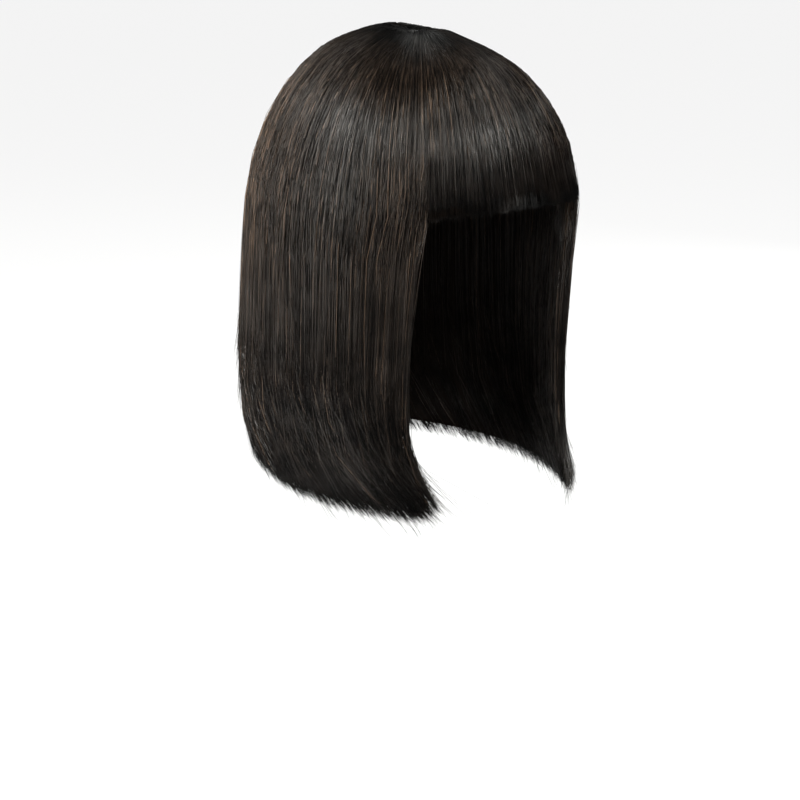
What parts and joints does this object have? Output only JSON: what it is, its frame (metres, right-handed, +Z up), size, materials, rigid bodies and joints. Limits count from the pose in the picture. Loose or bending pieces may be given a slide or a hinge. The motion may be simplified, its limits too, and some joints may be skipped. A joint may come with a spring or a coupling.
{
  "type": "bob wig",
  "caption": "Straight bob wig with a full fringe, a short centre part and a hem that curls under, on a stretch cap that is open below for the head.",
  "frame": {"origin": "top of the cap's hollow on its centre line, where the crown of the wearer's head meets it", "axes": "+Z up, the wearer faces -Y, and +X is towards the wearer's left"},
  "size_m": [0.199, 0.241, 0.3054],
  "materials": {
    "hair": "near-black brown straight hair with a soft sheen",
    "cap_net": "dark stretch net with rows of sewn wefts"
  },
  "bodies": {
    "root": {"cap": "cap_net", "fringe": "hair", "right_side_hair": "hair", "left_side_hair": "hair", "back_hair": "hair"}
  },
  "joints": []
}
